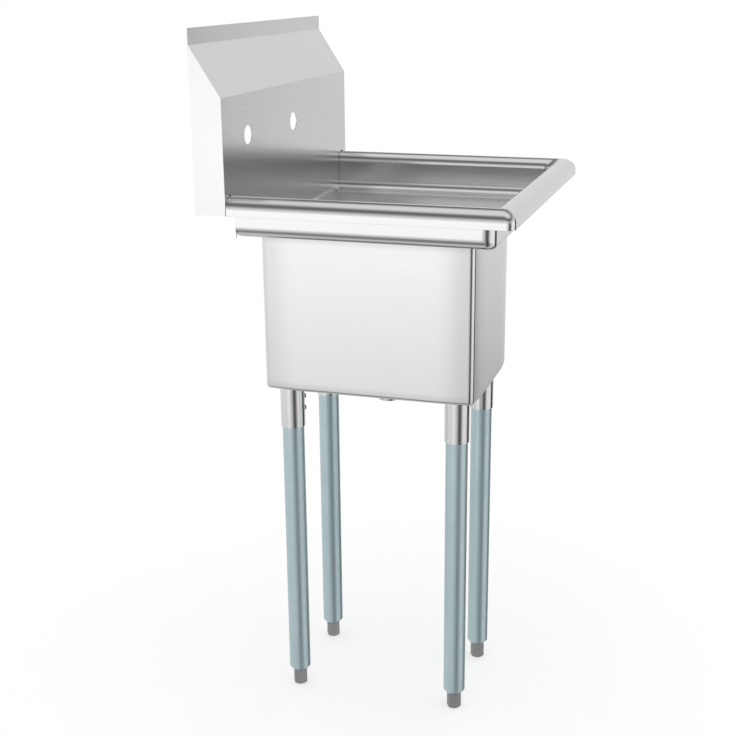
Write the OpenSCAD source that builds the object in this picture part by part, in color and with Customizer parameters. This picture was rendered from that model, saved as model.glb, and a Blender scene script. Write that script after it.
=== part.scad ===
// Utility laundry sink: one bowl at the left, a flat drainboard at the right, a high
// backsplash with two tap holes, and four pipe legs with screw feet.
// X runs from end to end, Y from the front roll to the wall, Z up from the floor.

/* [Overall] */
// Width from end to end
overall_w = 584; // [520:1:900]
// Depth from the front roll to the wall
overall_d = 508; // [480:1:700]
// Height of the rolled rim's top above the floor, feet screwed in
rim_top = 904; // [800:1:1000]
// Thickness of the stainless sheet
sheet = 1.2; // [0.8:0.1:2]

/* [Rolled rim] */
// Width of the roll, from its outer skirt to the wet side of the pan
rim_w = 39; // [34:1:50]
// Height of the roll's outer face
rim_h = 29.5; // [27:0.5:40]
// Radius of the roll's outer shoulder
rim_outer_r = 21; // [14:1:24]
// Radius of the front corners, seen from above
corner_r = 12.5; // [8:0.5:20]
// Width of the hem folded under the skirt
rim_hem = 8; // [4:1:12]

/* [Pan] */
// Depth from the rim's top to the underside of the pan
pan_depth = 70; // [56:1:90]
// Radius of the pan's upright front corners
pan_corner_r = 19; // [12:1:26]
// Radius of the cove along the pan's left and right walls
pan_end_cove_r = 16; // [8:1:20]
// Radius of the cove along the pan's front wall and the backsplash
pan_long_cove_r = 7; // [4:1:20]
// Width of the stiffening channel under the drainboard
channel_w = 46; // [30:1:70]
// Height of the stiffening channel
channel_h = 18; // [10:1:26]
// Width of the channel's glued flanges
channel_flange = 14; // [8:1:20]
// Gap between the channel's ends and the pan's edges
channel_end_gap = 34; // [14:1:60]

/* [Backsplash] */
// Height of the backsplash above the rim's top
splash_h = 254; // [180:1:360]
// Depth of the backsplash box
splash_d = 51; // [40:1:80]
// Height of the lip along the wall
lip_h = 25; // [15:1:40]
// Height of the slope between the lip and the upright face
slope_h = 78; // [50:1:110]
// Distance between the tap holes
hole_spacing = 203; // [100:1:230]
// Radius of a tap hole
hole_r = 15.5; // [10:0.5:18]
// Height of the tap holes above the rim's top
hole_h = 85; // [40:1:110]
// Inner radius of the backsplash's folds
fold_r = 2; // [1:0.5:4]

/* [Bowl] */
// Length of the bowl along the sink
bowl_l = 254; // [220:1:300]
// Length of the bowl from front to back
bowl_w = 356; // [300:1:370]
// Height of the bowl below the pan
bowl_h = 262; // [180:1:320]
// Distance from the sink's left end to the bowl
bowl_margin = 76; // [60:1:120]
// Distance from the front roll's face to the bowl
bowl_front = 76; // [70:1:90]
// Radius of the bowl's upright corners
bowl_corner_r = 9.5; // [8:0.5:30]
// Radius of the bowl's bottom edges
bowl_bottom_r = 6; // [3:1:8]
// Radius of the bowl's mouth, where its walls bend out onto the pan
mouth_r = 6; // [4:0.5:8]
// Radius of the dished part of the bowl's floor
dish_r = 80; // [70:1:90]
// Depth of the dish
dish_drop = 4; // [2:0.5:8]

/* [Drain] */
// Radius of the strainer's flange
flange_r = 56; // [50:1:60]
// Thickness of the strainer's flange
flange_t = 2.6; // [2:0.1:4]
// Outer radius of the strainer's cup
cup_r = 41; // [38:1:45]
// Depth of the cup's straight part
cup_h = 20; // [18:1:40]
// Depth of the cone between the cup and the tail
cone_h = 9; // [6:1:20]
// Wall of the cup
cup_wall = 2.4; // [1.5:0.1:3]
// Outer radius of the tail
tail_r = 19; // [16:0.5:24]
// Length of the tail
tail_l = 10; // [8:1:40]
// Wall of the tail
tail_wall = 1.8; // [1.2:0.1:3]
// Thickness of the rubber gasket under the bowl
gasket_t = 3; // [2:0.5:5]
// Thickness of the slip washer
washer_t = 1.5; // [1:0.1:2.5]
// Height of the locknut
nut_h = 9; // [6:1:12]
// Radius of the gasket and the washer
gasket_r = 52; // [48:1:60]
// Radius of the locknut without its lugs
nut_r = 49; // [46:1:56]
// Number of lugs on the locknut
nut_lugs = 8; // [4:1:12]

/* [Basket] */
// Radius of the basket's rim
basket_rim_r = 37; // [34:1:37]
// Radius of the basket's floor
basket_floor_r = 26; // [20:1:28]
// Depth of the basket
basket_h = 13; // [10:1:15]
// Thickness of the basket's metal
basket_t = 0.9; // [0.6:0.1:1.5]
// Radius of the basket's stem
stem_r = 3; // [2:0.5:5]
// Height of the knob's top above the basket's rim
knob_h = 16; // [10:1:24]
// Radius of the knob
knob_r = 8; // [6:1:14]
// Radius of the holes in the basket's floor
perforation_r = 2; // [1:0.5:3]
// Radius of the rubber stopper
stopper_r = 21; // [18.5:0.5:23]
// Thickness of the rubber stopper
stopper_t = 3; // [2:0.5:4]

/* [Legs] */
// Distance of the leg centres in from the bowl's side walls
leg_inset_x = 36; // [30:1:60]
// Distance of the leg centres in from the bowl's front and back walls
leg_inset_y = 34; // [30:1:60]
// Radius of a leg pipe
leg_r = 18.5; // [16:0.5:21]
// Wall of a leg pipe
leg_wall = 1.6; // [1.2:0.1:3]
// Length of a leg socket
socket_l = 74; // [50:1:110]
// Wall of a leg socket
socket_wall = 1.9; // [1.5:0.1:3]
// Thickness of the disc that closes a socket's top
socket_cap = 3; // [2:0.5:5]
// Distance of the upper set screw below the bowl
screw_drop = 25; // [16:1:30]
// Distance between the two set screws
screw_pitch = 21; // [15:1:28]
// Radius of a set screw's head
screw_head_r = 4.5; // [3.5:0.5:6]
// Height of a set screw's head
screw_head_h = 4.6; // [3:0.2:6]
// Radius of a set screw's shank
screw_r = 3; // [2:0.5:3]

/* [Feet] */
// Height of a foot's hexagon
foot_h = 28; // [20:1:40]
// Width of the hexagon across its flats
foot_af = 22; // [19:1:24]
// Height of the swaged cone at the pipe's lower end
swage_h = 7; // [5:1:12]
// Radius of a foot's threaded stud
stud_r = 6; // [4:0.5:7]
// Length of a foot's threaded stud
stud_l = 62; // [50:1:90]
// Length of the threaded insert in the pipe
insert_l = 30; // [20:1:40]

/* [Hidden] */
$fn = 64;

steel = [0.80, 0.80, 0.81];
galvanised = [0.62, 0.70, 0.72];
zinc_grey = [0.50, 0.50, 0.51];
rubber_black = [0.10, 0.10, 0.11];
fibre_red = [0.45, 0.20, 0.16];
brass_grey = [0.70, 0.69, 0.66];

// Overrun of every cut past the face that it opens
over = overall_w / 100;
// Radial clearance of pieces screwed or pushed into each other
fit_gap = sheet / 15;
// Clearance between pieces that lift or turn apart
lift_gap = sheet / 4;

x_end = overall_w / 2;
y_front = -overall_d / 2;
y_wall = overall_d / 2;
y_splash = y_wall - splash_d;

rim_inner_r = rim_w - rim_outer_r;
rim_bottom = rim_top - rim_h;
seam_z = rim_top - rim_inner_r;
pan_bottom = rim_top - pan_depth;
deck_z = pan_bottom + sheet;
pan_half_l = x_end - rim_w;
pan_front = y_front + rim_w;

splash_top = rim_top + splash_h;
lip_z = splash_top - lip_h;
fold_z = lip_z - slope_h;
hole_z = rim_top + hole_h;

bowl_x = -x_end + bowl_margin + bowl_l / 2;
bowl_y = y_front + bowl_front + bowl_w / 2;
bowl_bottom = pan_bottom - bowl_h;
drain_z = bowl_bottom + sheet - dish_drop;
drain_under = drain_z - sheet;
basket_z = drain_z + flange_t - cup_wall + lift_gap;
// Places of the basket's two rings of holes, from its hub to its floor's edge
ring_shares = [0.42, 0.78];

socket_r = leg_r + fit_gap + socket_wall;
socket_bottom = bowl_bottom - socket_l;
pipe_top = bowl_bottom - socket_cap - lift_gap;
pipe_bottom = foot_h + lift_gap;

// The backsplash's lip, the turn of its two folds, and the folds' centres as [y, z]
lip_y = y_wall - sheet;
fold_turn = atan2(lip_y - y_splash, slope_h);
foot_fold = [y_splash + sheet + fold_r, fold_z - (fold_r + sheet) * tan(fold_turn / 2)];
lip_fold = [lip_y - fold_r, lip_z + fold_r * tan(fold_turn / 2)];

// Where the bowl's walls start to bend, and how far the mouth reaches past them
mouth_z = deck_z - mouth_r;
mouth_reach = mouth_r - sheet;

// A bar's cross-section from its middle out to a face at run, with a round shoulder on top
module shoulder(run, low, skin) {
    difference() {
        translate([0, low]) square([run - skin, rim_top - skin - low]);
        translate([run - rim_outer_r, rim_top - rim_outer_r]) difference() {
            square(rim_outer_r + over);
            circle(rim_outer_r - skin);
        }
    }
}

// The opening's cross-section from its middle out to a wall at run, flared over the roll
module flare(run, low, skin) {
    translate([0, low]) square([run + skin, seam_z - low]);
    difference() {
        translate([0, seam_z]) square([run + rim_inner_r, rim_inner_r + over]);
        translate([run + rim_inner_r, seam_z]) circle(rim_inner_r - skin);
    }
}

// Everything under the roll's top as if the pan had no opening, mitred at its front corners
module roll_mass(low, skin) {
    intersection() {
        translate([0, y_splash, 0]) rotate([90, 0, 0])
            linear_extrude(y_splash - y_front)
                for (side = [0, 1]) mirror([side, 0]) shoulder(x_end, low, skin);
        translate([-x_end, y_splash, 0]) rotate([90, 0, 90]) mirror([1, 0, 0])
            linear_extrude(overall_w) shoulder(y_splash - y_front, low, skin);
        translate([0, 0, low]) linear_extrude(rim_top - low) rim_plan(skin);
    }
}

// The pan's opening with its flared edges, widened by skin
module opening_mass(low, skin) {
    corner_x = pan_half_l - pan_corner_r;
    corner_y = pan_front + pan_corner_r;
    translate([0, y_splash + over, 0]) rotate([90, 0, 0])
        linear_extrude(y_splash + over - corner_y)
            for (side = [0, 1]) mirror([side, 0]) flare(pan_half_l, low, skin);
    translate([-corner_x, y_splash, 0]) rotate([90, 0, 90]) mirror([1, 0, 0])
        linear_extrude(2 * corner_x) flare(y_splash - pan_front, low, skin);
    for (side = [-1, 1])
        translate([side * corner_x, corner_y, 0]) rotate_extrude() flare(pan_corner_r, low, skin);
}

// A plan view, square at the back and with a round corner at each front end
module round_plan(half_l, front, back, corner) {
    translate([-half_l, front + corner]) square([2 * half_l, back - front - corner]);
    translate([-(half_l - corner), front]) square([2 * (half_l - corner), corner + over]);
    for (side = [-1, 1])
        translate([side * (half_l - corner), front + corner]) circle(corner);
}

// The rim's outline seen from above, drawn in by inset
module rim_plan(inset) {
    round_plan(x_end - inset, y_front + inset, y_splash + over, max(corner_r - inset, over));
}

// The whole rolled rim as one bent sheet
module rim_sheet() {
    difference() {
        roll_mass(rim_bottom, 0);
        opening_mass(rim_bottom - over, 0);
        difference() {
            roll_mass(rim_bottom + sheet, sheet);
            opening_mass(rim_bottom, sheet);
        }
        translate([0, 0, rim_bottom - over])
            linear_extrude(sheet + 2 * over) rim_plan(rim_hem);
        translate([0, 0, rim_bottom - over])
            linear_extrude(seam_z - rim_bottom + over) rim_plan(rim_w / 2);
    }
}

// The part of the rim between the two front corner seams
module front_zone() {
    seam_x = pan_half_l - pan_corner_r;
    reach = pan_front + pan_corner_r - y_front;
    translate([-seam_x, y_front - over, rim_bottom - over])
        cube([2 * seam_x, reach + over, rim_h + 2 * over]);
}

module rim_side(side) {
    difference() {
        intersection() {
            rim_sheet();
            translate([side > 0 ? 0 : -x_end - over, y_front - over, rim_bottom - over])
                cube([x_end + over, overall_d + over, rim_h + 2 * over]);
        }
        front_zone();
    }
}

module rim_left() {
    color(steel) rim_side(-1);
}

module rim_right() {
    color(steel) rim_side(1);
}

module rim_front() {
    color(steel) intersection() {
        rim_sheet();
        front_zone();
    }
}

// A tub's cross-section from its middle out to a wall at run, with a round bottom edge
module tub_section(run, high, edge_r) {
    difference() {
        square([run, high]);
        translate([run - edge_r, edge_r]) difference() {
            translate([0, -edge_r - over]) square([edge_r + over, edge_r + over]);
            circle(edge_r);
        }
    }
}

// A solid tub about the origin, drawn in by skin all round its upright corners and bottom edges
module tub_mass(half_l, half_w, high, corner, edge_r, skin) {
    centre_x = half_l - corner;
    centre_y = half_w - corner;
    for (x = [-1, 1], y = [-1, 1])
        translate([x * centre_x, y * centre_y, 0])
            rotate_extrude() tub_section(corner - skin, high, edge_r - skin);
    translate([0, centre_y, 0]) rotate([90, 0, 0])
        linear_extrude(2 * centre_y)
            for (side = [0, 1]) mirror([side, 0]) tub_section(half_l - skin, high, edge_r - skin);
    translate([-centre_x, 0, 0]) rotate([90, 0, 90])
        linear_extrude(2 * centre_x)
            for (side = [0, 1]) mirror([side, 0]) tub_section(half_w - skin, high, edge_r - skin);
}

// The pan's hollow, grown by skin
module pan_mass(skin, top) {
    low = deck_z - skin;
    high = top - low;
    front = pan_front - skin;
    back = y_splash + skin;
    intersection() {
        translate([0, back + over, low]) rotate([90, 0, 0])
            linear_extrude(back - front + 2 * over)
                for (side = [0, 1]) mirror([side, 0])
                    tub_section(pan_half_l + skin, high, pan_end_cove_r + skin);
        translate([-x_end, (front + back) / 2, low]) rotate([90, 0, 90])
            linear_extrude(overall_w)
                for (side = [0, 1]) mirror([side, 0])
                    tub_section((back - front) / 2, high, pan_long_cove_r + skin);
        translate([0, 0, low]) linear_extrude(high)
            round_plan(pan_half_l + skin, front, back, pan_corner_r + skin);
    }
}

module bowl_place() {
    translate([bowl_x, bowl_y, 0]) children();
}

module deck_pan() {
    color(steel) difference() {
        pan_mass(sheet, seam_z);
        pan_mass(0, seam_z + over);
        bowl_place() translate([0, 0, pan_bottom - over])
            linear_extrude(sheet + 2 * over) bowl_plan(mouth_reach);
    }
}

// The bowl's outline seen from above, widened by outset
module bowl_plan(outset) {
    centre_x = bowl_l / 2 - bowl_corner_r;
    centre_y = bowl_w / 2 - bowl_corner_r;
    square([bowl_l + 2 * outset, 2 * centre_y], center = true);
    square([2 * centre_x, bowl_w + 2 * outset], center = true);
    for (x = [-1, 1], y = [-1, 1])
        translate([x * centre_x, y * centre_y]) circle(bowl_corner_r + outset);
}

// The hat section that stiffens the drainboard, from front to back under it
module deck_channel() {
    free_l = pan_half_l - (bowl_x + bowl_l / 2);
    middle_x = bowl_x + bowl_l / 2 + free_l / 2;
    channel_l = y_splash - pan_front - 2 * (pan_long_cove_r + channel_end_gap);
    color(galvanised)
        translate([middle_x, (y_splash + pan_front + channel_l) / 2, pan_bottom]) rotate([90, 0, 0])
            linear_extrude(channel_l) {
                translate([-channel_w / 2, -channel_h]) square([channel_w, sheet]);
                for (side = [0, 1]) mirror([side, 0]) {
                    translate([channel_w / 2 - sheet, -channel_h]) square([sheet, channel_h]);
                    translate([channel_w / 2 - sheet, -sheet])
                        square([channel_flange + sheet, sheet]);
                }
            }
}

// A point at radius and angle about a fold's centre
function round_fold(centre, radius, angle) = centre + radius * [cos(angle), sin(angle)];

// Everything between the backsplash's face and the wall below the lip, drawn in by skin
module splash_section(skin) {
    foot_r = fold_r + sheet - skin;
    lip_r = fold_r + skin;
    difference() {
        union() {
            polygon([
                [y_splash + skin, rim_bottom],
                [y_wall, rim_bottom],
                [y_wall, lip_fold[1]],
                lip_fold,
                round_fold(lip_fold, lip_r, -fold_turn),
                round_fold(foot_fold, foot_r, 180 - fold_turn),
                foot_fold,
                [y_splash + skin, foot_fold[1]]
            ]);
            translate(foot_fold) circle(foot_r);
        }
        translate(lip_fold) circle(lip_r);
    }
}

module backsplash() {
    inner_half = x_end - sheet;
    color(steel) difference() {
        union() {
            translate([-inner_half, 0, 0]) rotate([90, 0, 90])
                linear_extrude(2 * inner_half) difference() {
                    splash_section(0);
                    splash_section(sheet);
                }
            translate([-x_end, lip_y, lip_fold[1]]) cube([overall_w, sheet, splash_top - lip_fold[1]]);
        }
        translate([-pan_half_l - sheet, y_splash - over, rim_bottom - over])
            cube([2 * (pan_half_l + sheet), sheet + 2 * over, seam_z - rim_bottom + over]);
        for (side = [-1, 1])
            translate([bowl_x + side * hole_spacing / 2, y_splash + sheet + over, hole_z])
                rotate([90, 0, 0]) cylinder(r = hole_r, h = sheet + 2 * over);
    }
}

module end_cap(side) {
    color(steel) translate([side > 0 ? x_end - sheet : -x_end, 0, 0]) rotate([90, 0, 90])
        linear_extrude(sheet) splash_section(0);
}

module end_cap_left() {
    end_cap(-1);
}

module end_cap_right() {
    end_cap(1);
}

// The bent part of the wall in cross-section, round the bowl's mouth
module mouth_section(run) {
    translate([run + mouth_reach, mouth_z]) intersection() {
        difference() {
            circle(mouth_r);
            circle(mouth_reach);
        }
        translate([-mouth_r, 0]) square(mouth_r);
    }
}

// The quarter bend that carries the bowl's walls out onto the pan, all round its mouth
module bowl_mouth() {
    centre_x = bowl_l / 2 - bowl_corner_r;
    centre_y = bowl_w / 2 - bowl_corner_r;
    for (x = [0, 1], y = [0, 1]) mirror([x, 0, 0]) mirror([0, y, 0])
        translate([centre_x, centre_y, 0]) rotate_extrude(angle = 90) mouth_section(bowl_corner_r);
    for (side = [0, 1]) {
        mirror([side, 0, 0]) translate([0, centre_y, 0]) rotate([90, 0, 0])
            linear_extrude(2 * centre_y) mouth_section(bowl_l / 2);
        mirror([0, side, 0]) translate([-centre_x, 0, 0]) rotate([90, 0, 90])
            linear_extrude(2 * centre_x) mouth_section(bowl_w / 2);
    }
}

// The dish in the bowl's floor, from its flat bottom at low up to just above the floor's plane
module dish(low) {
    rise = sheet / 2;
    translate([0, 0, low])
        cylinder(r1 = flange_r, r2 = dish_r + rise * (dish_r - flange_r) / dish_drop, h = dish_drop + rise);
}

module bowl() {
    cove = min(bowl_bottom_r, bowl_corner_r);
    color(steel) bowl_place() {
        difference() {
            union() {
                translate([0, 0, bowl_bottom])
                    tub_mass(bowl_l / 2, bowl_w / 2, mouth_z - bowl_bottom, bowl_corner_r, cove, 0);
                dish(drain_under);
            }
            translate([0, 0, bowl_bottom + sheet])
                tub_mass(bowl_l / 2, bowl_w / 2, bowl_h, bowl_corner_r, cove, sheet);
            dish(drain_z);
            translate([0, 0, drain_under - over]) cylinder(r = cup_r + lift_gap, h = bowl_h);
        }
        bowl_mouth();
    }
}

// The strainer's flange, cup, cone and tail in one turning
module strainer_body() {
    seat_r = basket_rim_r + lift_gap;
    bore_r = seat_r - 2 * cup_wall;
    color(steel) bowl_place() translate([0, 0, drain_z]) rotate_extrude() polygon([
        [seat_r, flange_t],
        [flange_r - flange_t, flange_t],
        [flange_r - flange_t / 3, flange_t / 3],
        [flange_r - flange_t / 3, 0],
        [cup_r, 0],
        [cup_r, -cup_h],
        [tail_r, -cup_h - cone_h],
        [tail_r, -cup_h - cone_h - tail_l],
        [tail_r - tail_wall, -cup_h - cone_h - tail_l],
        [tail_r - tail_wall, -cup_h - cone_h + cup_wall],
        [cup_r - cup_wall, -cup_h + cup_wall],
        [cup_r - cup_wall, -cup_wall],
        [bore_r, -cup_wall + basket_t],
        [bore_r, flange_t - cup_wall],
        [seat_r, flange_t - cup_wall]
    ]);
}

// A flat ring around the cup, hanging from top
module drain_ring(top, thick, outer) {
    bowl_place() translate([0, 0, top - thick]) difference() {
        cylinder(r = outer, h = thick);
        translate([0, 0, -over]) cylinder(r = cup_r + fit_gap, h = thick + 2 * over);
    }
}

module drain_gasket() {
    color(rubber_black) drain_ring(drain_under, gasket_t, gasket_r);
}

module drain_washer() {
    color(fibre_red) drain_ring(drain_under - gasket_t, washer_t, gasket_r);
}

module drain_locknut() {
    top = drain_under - gasket_t - washer_t;
    lug = nut_h / 2;
    color(brass_grey) {
        bowl_place() translate([0, 0, top - nut_h]) difference() {
            union() {
                cylinder(r = nut_r, h = nut_h);
                for (k = [0 : nut_lugs - 1]) rotate([0, 0, k * 360 / nut_lugs])
                    translate([nut_r - lug / 2, -lug / 2, 0]) cube([lug, lug, nut_h]);
            }
            translate([0, 0, -over]) cylinder(r = cup_r + fit_gap, h = nut_h + 2 * over);
        }
    }
}

// The crumb basket: a pressed cup with holes, a stem and a knob
module strainer_basket() {
    wall_r = basket_rim_r - 2 * cup_wall - lift_gap;
    bore = stem_r + stem_r / 3;
    color(steel) bowl_place() translate([0, 0, basket_z]) difference() {
        union() {
            rotate_extrude() polygon([
                [0, -basket_h],
                [basket_floor_r, -basket_h],
                [wall_r, 0],
                [basket_rim_r, 0],
                [basket_rim_r, basket_t],
                [wall_r - basket_t, basket_t],
                [basket_floor_r - basket_t, -basket_h + basket_t],
                [0, -basket_h + basket_t]
            ]);
            translate([0, 0, -basket_h]) cylinder(r = stem_r, h = basket_h + knob_h);
            translate([0, 0, -basket_h]) cylinder(r = bore * 2, h = 2 * basket_t);
            translate([0, 0, knob_h - knob_r / 2]) cylinder(r1 = stem_r, r2 = knob_r, h = knob_r / 4);
            translate([0, 0, knob_h - knob_r / 4])
                cylinder(r1 = knob_r, r2 = knob_r * 3 / 4, h = knob_r / 4);
        }
        for (ring = [0, 1]) for (k = [0 : 6 * (ring + 1) - 1])
            rotate([0, 0, (k + ring / 2) * 60 / (ring + 1)])
                translate([bore * 2 + (basket_floor_r - bore * 2) * ring_shares[ring], 0, -basket_h - over])
                    cylinder(r = perforation_r, h = basket_t + 2 * over);
    }
}

module basket_stopper() {
    color(rubber_black) bowl_place() translate([0, 0, basket_z - basket_h - stopper_t])
        cylinder(r1 = stopper_r - stopper_t / 2, r2 = stopper_r, h = stopper_t);
}

// One leg's place: x is -1 at the left and 1 at the right, y is -1 at the front and 1 at the back
module leg_place(x, y) {
    translate([bowl_x + x * (bowl_l / 2 - leg_inset_x), bowl_y + y * (bowl_w / 2 - leg_inset_y), 0])
        children();
}

// The two set screws of a socket, one above the other, turned towards the bowl's middle
module screw_places(x, y) {
    for (k = [0, 1]) translate([0, 0, bowl_bottom - screw_drop - k * screw_pitch])
        rotate([0, 90, atan2(-y, -x)]) children();
}

module leg_socket(x, y) {
    color(steel) leg_place(x, y) difference() {
        translate([0, 0, socket_bottom]) cylinder(r = socket_r, h = socket_l);
        translate([0, 0, socket_bottom - over])
            cylinder(r = leg_r + fit_gap, h = socket_l + over - socket_cap);
        screw_places(x, y) cylinder(r = screw_r + fit_gap, h = socket_r + over);
    }
}

module set_screws(x, y) {
    color(zinc_grey) leg_place(x, y) screw_places(x, y) {
        translate([0, 0, leg_r + fit_gap]) cylinder(r = screw_r, h = socket_wall + screw_head_h / 2);
        translate([0, 0, socket_r]) intersection() {
            cylinder(r = screw_head_r, h = screw_head_h);
            translate([0, 0, screw_head_h - screw_head_r * 5 / 4]) sphere(r = screw_head_r * 5 / 4);
        }
    }
}

// A galvanised pipe, swaged to a cone at its lower end
module leg_pipe(x, y) {
    swage_r = foot_af / 2 + leg_wall;
    color(galvanised) leg_place(x, y) rotate_extrude() polygon([
        [leg_r, pipe_top],
        [leg_r, pipe_bottom + swage_h],
        [swage_r, pipe_bottom],
        [swage_r - leg_wall, pipe_bottom],
        [leg_r - leg_wall, pipe_bottom + swage_h],
        [leg_r - leg_wall, pipe_top]
    ]);
}

module foot_insert(x, y) {
    color(zinc_grey) leg_place(x, y) translate([0, 0, pipe_bottom + swage_h]) difference() {
        cylinder(r = leg_r - leg_wall - fit_gap, h = insert_l);
        translate([0, 0, -over]) cylinder(r = stud_r + fit_gap, h = insert_l + 2 * over);
    }
}

// A hexagonal foot with its threaded stud, flats towards the sink's ends
module foot(x, y) {
    chamfer = foot_af / 14;
    across = foot_af / cos(30);
    color(zinc_grey) leg_place(x, y) {
        intersection() {
            rotate([0, 0, 30]) cylinder(d = across, h = foot_h, $fn = 6);
            union() {
                cylinder(d1 = foot_af - chamfer, d2 = across, h = chamfer);
                translate([0, 0, chamfer]) cylinder(d = across, h = foot_h);
            }
        }
        translate([0, 0, foot_h - chamfer]) cylinder(r = stud_r, h = chamfer + stud_l);
    }
}

backsplash();
end_cap_left();
end_cap_right();
deck_pan();
deck_channel();
rim_left();
rim_right();
rim_front();
bowl();
strainer_body();
drain_gasket();
drain_washer();
drain_locknut();
strainer_basket();
basket_stopper();
leg_socket(-1, -1);  // leg_socket_front_left
leg_socket(1, -1);  // leg_socket_front_right
leg_socket(-1, 1);  // leg_socket_back_left
leg_socket(1, 1);  // leg_socket_back_right
set_screws(-1, -1);  // set_screws_front_left
set_screws(1, -1);  // set_screws_front_right
set_screws(-1, 1);  // set_screws_back_left
set_screws(1, 1);  // set_screws_back_right
leg_pipe(-1, -1);  // leg_pipe_front_left
leg_pipe(1, -1);  // leg_pipe_front_right
leg_pipe(-1, 1);  // leg_pipe_back_left
leg_pipe(1, 1);  // leg_pipe_back_right
foot_insert(-1, -1);  // foot_insert_front_left
foot_insert(1, -1);  // foot_insert_front_right
foot_insert(-1, 1);  // foot_insert_back_left
foot_insert(1, 1);  // foot_insert_back_right
foot(-1, -1);  // foot_front_left
foot(1, -1);  // foot_front_right
foot(-1, 1);  // foot_back_left
foot(1, 1);  // foot_back_right
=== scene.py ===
"""Looks of a stainless utility laundry sink with a drainboard, a backsplash and four pipe legs.

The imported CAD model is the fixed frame. The backsplash, tubes and drain parts keep their meshes and
get finishes worked out from the real ones. The rims, pan, bowl, screws, feet, strainer and welds are
surfaces worked out here at the same sizes.
Lengths are in metres, X runs from end to end, Y from the front roll to the wall, Z up.
"""

import logging
import math
from dataclasses import dataclass, field
from enum import Enum
from functools import partial, reduce

import bmesh
import bpy
import numpy as np
from mathutils import Matrix, Vector
from mathutils.geometry import tessellate_polygon


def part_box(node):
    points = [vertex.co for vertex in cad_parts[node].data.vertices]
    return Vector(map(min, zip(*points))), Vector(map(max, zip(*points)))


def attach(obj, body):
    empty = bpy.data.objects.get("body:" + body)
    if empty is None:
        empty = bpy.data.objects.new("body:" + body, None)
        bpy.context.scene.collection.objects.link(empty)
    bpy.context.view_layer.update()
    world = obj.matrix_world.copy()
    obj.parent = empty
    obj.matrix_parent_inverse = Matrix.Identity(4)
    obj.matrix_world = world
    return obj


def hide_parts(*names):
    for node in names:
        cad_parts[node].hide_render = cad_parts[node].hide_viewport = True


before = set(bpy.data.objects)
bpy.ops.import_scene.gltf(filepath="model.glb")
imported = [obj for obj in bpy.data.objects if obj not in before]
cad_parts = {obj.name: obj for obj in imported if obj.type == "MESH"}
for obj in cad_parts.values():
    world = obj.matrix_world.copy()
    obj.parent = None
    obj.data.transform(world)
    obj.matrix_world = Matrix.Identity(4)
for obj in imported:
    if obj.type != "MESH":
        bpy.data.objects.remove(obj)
log = logging.getLogger("laundry_sink")

Material = bpy.types.Material
Socket = bpy.types.NodeSocket
Value = Socket | float

# Sizes of the CAD model that several pieces share
MM = 0.001
SHEET = 1.2 * MM
DECK_Z = 835.2 * MM
BOWL_BOTTOM_Z = 572 * MM
BOWL_CENTRE = (-89 * MM, 0.0)

UP = np.array([0.0, 0.0, 1.0])
TO_WALL = np.array([0.0, 1.0, 0.0])
WHITE = (1.0, 1.0, 1.0, 1.0)


class Grain(Enum):
    """Which way a sheet was brushed."""

    ALONG_WIDTH = "along_width"
    ALONG_DEPTH = "along_depth"
    BY_FACE = "by_face"


def linear(code: str) -> tuple[float, float, float, float]:
    """Turns an sRGB hex colour such as "#cfcfce" into a linear colour with alpha 1.

    Args:
        code: The colour as "#rrggbb".

    Returns:
        The linear red, green, blue and alpha.
    """
    shares = [int(code[k:k + 2], 16) / 255 for k in (1, 3, 5)]
    red, green, blue = ((s / 12.92 if s <= 0.04045 else ((s + 0.055) / 1.055) ** 2.4) for s in shares)
    return red, green, blue, 1.0


class Nodes:
    """A node tree, with the sums and steps that its patterns are made of."""

    def __init__(self, tree: bpy.types.NodeTree) -> None:
        """Empties the tree."""
        self.tree = tree
        tree.nodes.clear()

    def add(self, kind: str, links: dict | None = None, **settings: object) -> bpy.types.Node:
        """Adds one node with its settings, and links or fills its inputs.

        Args:
            kind: The node's type name, after ShaderNode.
            links: Input name or number to the socket that feeds it, or to its plain value.
            **settings: Properties of the node itself.

        Returns:
            The new node.
        """
        node = self.tree.nodes.new("ShaderNode" + kind)
        for name, value in settings.items():
            setattr(node, name, value)
        for name, source in (links or {}).items():
            if isinstance(source, Socket):
                self.tree.links.new(source, node.inputs[name])
            else:
                node.inputs[name].default_value = source
        return node

    def maths(self, operation: str, *values: Value) -> Socket:
        """Puts one to three values through a maths node."""
        return self.add("Math", dict(enumerate(values)), operation=operation).outputs[0]

    def step(self, value: Socket, start: float, end: float, before: float, after: float) -> Socket:
        """A smooth step of a value, from one number up to its start to another from its end on."""
        return self.add("MapRange", {0: value, 1: start, 2: end, 3: before, 4: after},
                        interpolation_type="SMOOTHSTEP").outputs[0]


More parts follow.
